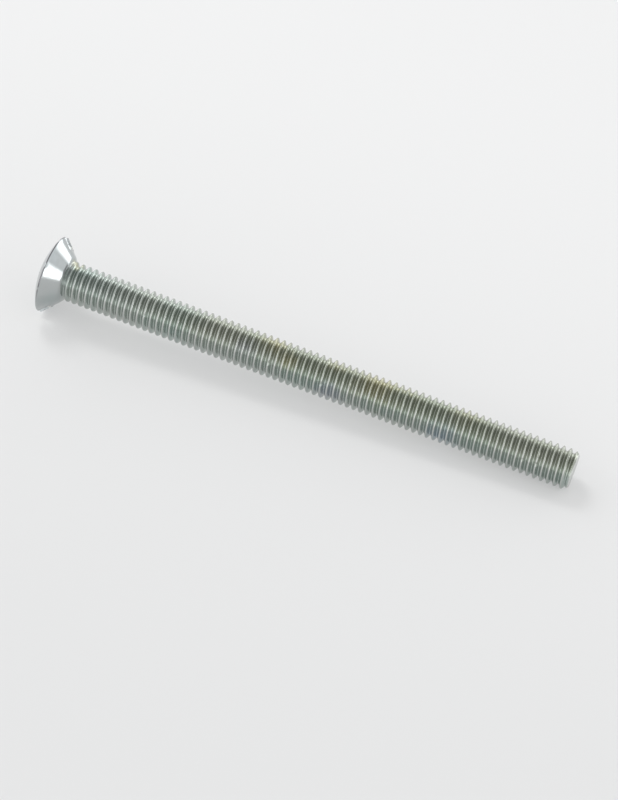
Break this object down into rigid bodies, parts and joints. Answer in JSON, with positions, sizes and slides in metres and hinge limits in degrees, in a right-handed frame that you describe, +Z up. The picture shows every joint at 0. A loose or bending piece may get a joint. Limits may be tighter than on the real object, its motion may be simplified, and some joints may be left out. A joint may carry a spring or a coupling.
{
  "type": "machine screw",
  "caption": "Long fully threaded machine screw with a slotted raised countersunk head, bright zinc plated, lying on its rim and tip.",
  "frame": {"origin": "centre of the bounding box's bottom: the plane that the screw lies on, under the middle of its length", "axes": "+X along the length from the head to the tip, +Y across, +Z up; the screw's own axis slopes down 2.0 degrees from the head to the tip"},
  "size_m": [0.0808, 0.0114, 0.0113],
  "materials": {
    "zinc_plate": "bright zinc plate, clear passivated with faint yellow tints"
  },
  "bodies": {
    "root": {"screw": "zinc_plate"}
  },
  "joints": []
}
